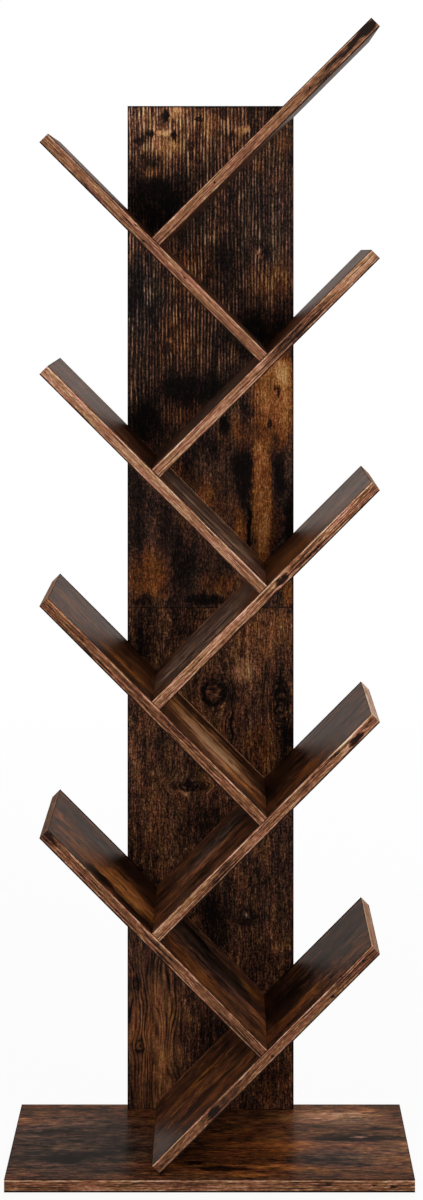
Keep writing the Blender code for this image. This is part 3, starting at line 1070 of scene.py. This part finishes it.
def lay_strip(name, centre, normal, across, length, width, thickness=STRIP_THICKNESS):
    """Glues a strip on a flat edge. Its outer face looks along normal, and its width lies along across."""
    start = len(strips) * STRIP_SPACING
    strip = bpy.data.objects.new(name, strip_mesh(name, start, length, width, thickness))
    along = across.cross(normal)
    turn = Matrix((along, across, normal)).transposed().to_4x4()
    strip.matrix_world = Matrix.Translation(centre - along * (start + length / 2)) @ turn
    bpy.context.scene.collection.objects.link(strip)
    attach(strip, "root")
    strips.append(strip)
    strip_starts[name] = start


print("a strip is", STRIP_THICKNESS * MM, "mm thick")

# %% Shelf strips
FORWARD = Vector((0, -1, 0))
UPWARD = Vector((0, 0, 1))

for shelf in SHELVES:
    along, outward = shelf.along, shelf.outward
    middle = shelf.foot + along * shelf.length / 2
    end = shelf.foot + along * shelf.length
    over_end = along * STRIP_THICKNESS / 2
    half_depth = REARWARD * shelf.depth / 2
    front_length = shelf.length + STRIP_THICKNESS
    lay_strip(
        shelf.name + "_front_strip", middle - half_depth + over_end, FORWARD, outward,
        front_length, shelf.thickness,
    )
    lay_strip(
        shelf.name + "_end_strip", end, along, outward, shelf.depth, shelf.thickness,
    )
    start = behind_trunk(shelf)
    lay_strip(
        shelf.name + "_rear_strip", shelf.foot + along * (start + shelf.length) / 2 + half_depth, REARWARD,
        outward, shelf.length - start, shelf.thickness, JOINT_STRIP_THICKNESS,
    )
lowest = next(shelf for shelf in SHELVES if shelf.name == "right_shelf_1")
lay_strip(
    "right_shelf_1_foot_strip", lowest.foot, -lowest.along, lowest.outward, lowest.depth, lowest.thickness,
    JOINT_STRIP_THICKNESS,
)
print("shelf strips:", len(strips))

# %% Base strips
BASE_LOW, BASE_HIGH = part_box("base_board")
BASE_MIDDLE = (BASE_LOW + BASE_HIGH) / 2
BASE_SIZE = BASE_HIGH - BASE_LOW
LEFTWARD, RIGHTWARD = Vector((-1, 0, 0)), Vector((1, 0, 0))

for name, normal, length in (
    ("base_front_strip", FORWARD, BASE_SIZE.x + 2 * STRIP_THICKNESS),
    ("base_rear_strip", REARWARD, BASE_SIZE.x + 2 * STRIP_THICKNESS),
    ("base_left_strip", LEFTWARD, BASE_SIZE.y),
    ("base_right_strip", RIGHTWARD, BASE_SIZE.y),
):
    centre = BASE_MIDDLE + Vector((normal.x * BASE_SIZE.x / 2, normal.y * BASE_SIZE.y / 2, 0))
    lay_strip(name, centre, normal, UPWARD, length, BASE_SIZE.z)
print("strips with the base's:", len(strips))

# %% Trunk strips
for board in ("lower_trunk_board", "upper_trunk_board"):
    low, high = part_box(board)
    size = high - low
    for side, normal in (("left", LEFTWARD), ("right", RIGHTWARD)):
        centre = (low + high) / 2 + normal * size.x / 2
        lay_strip(f"{board}_{side}_strip", centre, normal, REARWARD, size.z, size.y)
low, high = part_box("upper_trunk_board")
size = high - low
top_middle = (low + high) / 2 + UPWARD * size.z / 2
lay_strip(
    "trunk_top_strip", top_middle, UPWARD, REARWARD, size.x + 2 * STRIP_THICKNESS, size.y
)
print("strips with the trunk's sides and top:", len(strips))

# %% Seam strips
low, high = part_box("lower_trunk_board")
left_dowel, right_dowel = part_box("trunk_seam_left_dowel"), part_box("trunk_seam_right_dowel")
for side, start, end in (
    ("left", low.x, left_dowel[0].x),
    ("middle", left_dowel[1].x, right_dowel[0].x),
    ("right", right_dowel[1].x, high.x),
):
    centre = Vector(((start + end) / 2, (low.y + high.y) / 2, high.z))
    lay_strip(
        f"trunk_seam_{side}_strip", centre, UPWARD, REARWARD, end - start, high.y - low.y,
        JOINT_STRIP_THICKNESS,
    )
print("strips in all:", len(strips))

# %% [markdown]
# The strips' print
# Seen close, a strip is tan with fine brown lines along it, a few pinholes, and here and there a knotty
# stretch. Its borders carry a light line of painted highlight, and its lower one a dark line of painted
# shade. The shelves' ends are plainer, with a greyer, lighter tint that is painted sheen, and the front
# strips of the four topmost shelves are calmer. The marks are in millimetres from a strip's left end, as
# the photograph shows it, and from its middle line. The first mark of a strip sets how light the whole
# strip is.

# %% Strip marks
WHOLE_STRIP = Mark(190, 0, 320, 80, 0.0, 0.0, 0.7)  # covers a shelf's strip


def whole_strip(push):
    return WHOLE_STRIP._replace(push=push)


STRIP_MARKS = {
    "left_shelf_1_front_strip": (
        whole_strip(-0.10),
        Mark(8, 1, 14, 7, -0.50, 0.0, 0.5),
        Mark(210, 0, 40, 8, -0.24),
        Mark(212, -4, 12, 3, -0.40, 0.0, 0.4),
    ),
    # Painted sheen: this flatly seen end is lighter, as if it mirrored the room.
    "right_shelf_2_end_strip": (whole_strip(0.30),),
    "left_shelf_1_end_strip": (whole_strip(-0.15),),
    # Painted sheen: this end is lighter, as if it mirrored the room.
    "right_shelf_1_end_strip": (whole_strip(0.10),),
    "left_shelf_2_front_strip": (whole_strip(-0.15),),
    "left_shelf_3_front_strip": (whole_strip(0.08),),
    "left_shelf_4_front_strip": (
        whole_strip(-0.06),
        Mark(155, 4.5, 3.0, 1.5, -0.50, 0.0, 0.5),
        Mark(176, -3, 2.2, 1.5, -0.70, 0.0, 0.5),
        Mark(243, 2, 2.2, 1.5, -0.60, 0.0, 0.5),
    ),
    "right_shelf_1_front_strip": (
        whole_strip(-0.10),
        Mark(99, 0, 11, 5, -0.60, 0.0, 0.5),
        Mark(122, 0, 50, 9, -0.24),
        Mark(303, -3, 2.6, 1.8, -0.70, 0.0, 0.5),
        Mark(360, 2, 2.6, 1.8, -0.70, 0.0, 0.5),
        Mark(199, -2, 3.0, 1.6, -0.50, 0.0, 0.5),
    ),
    "right_shelf_2_front_strip": (
        whole_strip(0.02),
        Mark(109, 0, 46, 8, -0.26),
        Mark(101, -3, 10, 3, -0.40, 0.0, 0.4),
        Mark(343, 1, 26, 8, 0.24, 0.0, 0.6),
        Mark(345, -2, 13, 4.5, -0.95, 0.0, 0.6),
        Mark(316, 3, 30, 1.8, -0.40, 0.0, 0.5),
        Mark(364, 2, 16, 1.6, -0.40, 0.0, 0.5),
    ),
    "right_shelf_3_front_strip": (
        whole_strip(0.07),
        Mark(216, 1, 22, 8, 0.22, 0.0, 0.6),
        Mark(218, 0, 11, 4.5, -0.95, 0.0, 0.6),
        Mark(250, 0, 34, 9, -0.16),
        Mark(246, 2, 26, 1.6, -0.45, 0.0, 0.5),
        Mark(264, -3, 30, 1.6, -0.45, 0.0, 0.5),
    ),
    "right_shelf_4_front_strip": (
        whole_strip(0.06),
        Mark(238, 0, 58, 10, -0.34),
        Mark(232, 3, 30, 1.6, -0.35, 0.0, 0.5),
        Mark(256, -3, 34, 1.8, -0.35, 0.0, 0.5),
        Mark(290, 1, 26, 2.0, -0.30, 0.0, 0.4),
    ),
    "right_shelf_5_front_strip": (
        whole_strip(-0.05),
        Mark(102, 0, 2.2, 1.5, -0.70, 0.0, 0.5),
        Mark(159, 5.5, 3.0, 1.5, -0.50, 0.0, 0.5),
        Mark(266, 0, 2.2, 1.5, -0.70, 0.0, 0.5),
        Mark(287, -4, 16, 2.0, -0.50, 0.0, 0.5),
        Mark(310, 2, 20, 2.2, -0.40, 0.0, 0.5),
        Mark(330, -1, 14, 3.0, -0.40, 0.0, 0.4),
        Mark(345, 2, 12, 4.0, -0.40, 0.0, 0.4),
        Mark(369, 2, 17, 7.0, -0.80, 0.0, 0.6),
        Mark(320, 1, 70, 9, -0.16),
    ),
    "base_front_strip": (
        whole_strip(-0.04),
        Mark(396, 3, 4, 1.8, -0.60, 0.0, 0.5),
        Mark(452, 1, 3, 1.8, -0.60, 0.0, 0.5),
        Mark(474, -1, 5, 1.8, -0.60, 0.0, 0.5),
    ),
}
print("strips with marks:", len(STRIP_MARKS))

# %% Strip lines
ThinLines = namedtuple("ThinLines", "noise width push")
DARK_LINES = ThinLines(Noise((170, 2.3, 9), 1.0), 0.07, 0.45)
FAINT_LINES = ThinLines(Noise((70, 1.8, 9), 1.0), 0.08, 0.30)
LINE_WAVES = Noise((150, 2.0, 9), 2.0, 0.6)
LINE_WAVES_SHARE = 0.75
LINE_DASHES = Noise((9, 2.2, 9), 2.0, 0.7)
LINE_DASHES_SHARE = 1.35
LINE_LIFT = 0.13  # makes up for what the dark and faint lines take away
LINE_BEND = Noise((50, 30, 30), 1.0)
LINE_BEND_SHIFT = (0, 2, 0)


def thin_lines(place, lines):
    """The lines' push along the thin lines where their noise crosses its mean, and 0 elsewhere."""
    off = swing(place, lines.noise)
    return ease(off.sum("ABSOLUTE", off), lines.width, 0.0) * lines.push


def strip_lines(place):
    """Fine lines along a strip, about 0 in the mean."""
    bent = ragged(place, LINE_BEND, LINE_BEND_SHIFT)
    uneven = swing(bent, LINE_WAVES) * LINE_WAVES_SHARE + swing(bent, LINE_DASHES) * LINE_DASHES_SHARE
    return uneven - thin_lines(bent, DARK_LINES) - thin_lines(bent, FAINT_LINES) + LINE_LIFT


print("pushes of a strip's lines:", DARK_LINES.push, FAINT_LINES.push)

# %% Strip borders
Border = namedtuple("Border", "begins ends push")  # in millimetres from a strip's middle line
# Painted highlight along both borders, brighter on the upper one; painted shade along the lower border.
BORDER_HIGHLIGHT = Border((4.2, 5.0), (6.2, 5.6), 0.16)
GLINT = Border((5.2, 5.8), (7.0, 6.5), 0.30)
LOWER_SHADE_BEGINS, LOWER_SHADE_PUSH = (-5.6, -6.2), 0.90
RIM_WIDTH, RIM_PUSH = 0.4, 0.50


def border_line(across, border):
    return ease(across, *border.begins) * ease(across, *border.ends) * border.push


def strip_borders(across, share, rim):
    """Painted highlight along both borders and painted shade along the lower one, with this share, and a
    dark rim above.
    """
    light = border_line(across.sum("ABSOLUTE", across), BORDER_HIGHLIGHT) + border_line(across, GLINT)
    lower_shade = ease(across, *LOWER_SHADE_BEGINS) * LOWER_SHADE_PUSH
    upper = ease(across, rim, rim + RIM_WIDTH) * RIM_PUSH
    return (light - lower_shade) * share - upper


print("a strip's glue line starts", LOWER_SHADE_BEGINS[0], "mm from its middle")

# %% Strip finish
STRIP_TANS = (
    (0.00, (0.0130, 0.0052, 0.0033)),
    (0.25, (0.0578, 0.0210, 0.0098)),
    (0.50, (0.1812, 0.0680, 0.0294)),
    (0.75, (0.3419, 0.1384, 0.0612)),
    (1.00, (0.6105, 0.3467, 0.2086)),
    (1.40, (0.9000, 0.7000, 0.5500)),
)
STRIP_LEVEL = 0.66
STRIP_STRETCH = Noise((150, 40, 40))
STRIP_STRETCH_SHARE = 0.25
STRIP_CLOUD = Noise((40, 7, 9), 3.0, 0.6)
STRIP_CLOUD_SHARE = 0.45
STRIP_BORDER_SWING = 1.2  # millimetres, by which the clouds move the borders
STRIP_HUE = Noise((45, 6, 9), 3.0, 0.65)
STRIP_TEAR = Noise((7, 3, 9), 2.0, 0.6)
STRIP_TEAR_SHIFT = (12, 5, 0)
STRIP_SPECULAR = 0.14
STRIP_SHEEN = Sheen(0.50, 0.15, 0.10, 0.0003)


def strip_finish(name, share, rim, tint):
    """A strip's material, in which lines and borders show with this share and the tint colours the tan."""
    material, shader, metres = new_finish(name, Specular_IOR_Level=STRIP_SPECULAR)
    place = metres * (MM, MM, MM)
    cloud = swing(place, STRIP_CLOUD)
    lines = strip_lines(place) * share
    stretch = swing(place, STRIP_STRETCH)
    tone = STRIP_LEVEL + stretch * STRIP_STRETCH_SHARE + cloud * STRIP_CLOUD_SHARE + lines
    torn = ragged(place, STRIP_TEAR, STRIP_TEAR_SHIFT)
    for strip, marks in STRIP_MARKS.items():
        placed = [mark._replace(along=mark.along + strip_starts[strip] * MM) for mark in marks]
        tone, _ = add_marks(tone, 0.0, torn, placed)
    tone = tone + strip_borders(axis(place, "Y") + cloud * STRIP_BORDER_SWING, share, rim)
    colour = tinted(tone_ramp(tone, STRIP_TANS), place, STRIP_HUE) * tint
    feed_finish(shader, colour, STRIP_SHEEN, lines, lines)
    return material


print("browns in the strips' ramp:", len(STRIP_TANS))

# %% Kinds of strip
StripKind = namedtuple("StripKind", "name share rim tint")  # the rim is in millimetres from the middle line
LINED = StripKind("tan_edge_strip", 1.0, 6.9, (1.0, 1.0, 1.0))
CALM = StripKind("calm_edge_strip", 0.75, 6.2, (1.03, 1.10, 1.20))
# The end strips' tint is painted sheen, which makes them greyer and lighter.
PLAIN = StripKind("mauve_edge_strip", 0.4, 6.9, (1.05, 1.30, 1.55))
CALM_SHELVES = ("left_shelf_3", "left_shelf_4", "right_shelf_4", "right_shelf_5")
CALM_STRIPS = [shelf + "_front_strip" for shelf in CALM_SHELVES]


def strip_kind(name):
    if name in CALM_STRIPS:
        return CALM
    return PLAIN if name.endswith("_end_strip") else LINED


strip_finishes = {kind: strip_finish(*kind) for kind in (LINED, CALM, PLAIN)}
for strip in strips:
    strip.data.materials.append(strip_finishes[strip_kind(strip.name)])
print("strips finished:", len(strips))

# %% [markdown]
# Fittings
# Behind and below the boards are the zinc-plated screws and plates that hold them. Zinc is a cool grey
# with a faint crystal pattern, and it is not evenly shiny. The beech dowels hide in their holes.

# %% Fittings
ZINC_GREYS = (
    (0.25, (0.36, 0.36, 0.37)),
    (0.75, (0.62, 0.62, 0.63)),
)
ZINC_CRYSTALS = Noise((2.2, 2.2, 2.2), 2.0, 0.6)
ZINC_SHEEN = Sheen(0.24, 0.24, 0.05, 0.0002)
BEECH_TANS = (
    (0.30, (0.42, 0.26, 0.14)),
    (0.70, (0.62, 0.43, 0.26)),
)
BEECH_FIBRES = Noise((4.0, 1.2, 4.0), 3.0, 0.6)
BEECH_SHEEN = Sheen(0.62, 0.2, 0.15, 0.0002)
BEECH_SPECULAR = 0.35


def fitting_finish(name, kind, stops, sheen, **constants):
    material, shader, metres = new_finish(name, **constants)
    uneven = noise(metres * (MM, MM, MM), kind)
    feed_finish(shader, ramp(uneven, stops), sheen, uneven, uneven)
    return material


zinc = fitting_finish("zinc_plating", ZINC_CRYSTALS, ZINC_GREYS, ZINC_SHEEN, Metallic=1.0)
beech = fitting_finish(
    "beech_dowel", BEECH_FIBRES, BEECH_TANS, BEECH_SHEEN, Specular_IOR_Level=BEECH_SPECULAR
)
fittings = [name for name in NODES if name.endswith(("_screw", "_plate", "_dowel"))]
for name in fittings:
    put_on(name, beech if name.endswith("_dowel") else zinc)
print("fittings finished:", len(fittings))
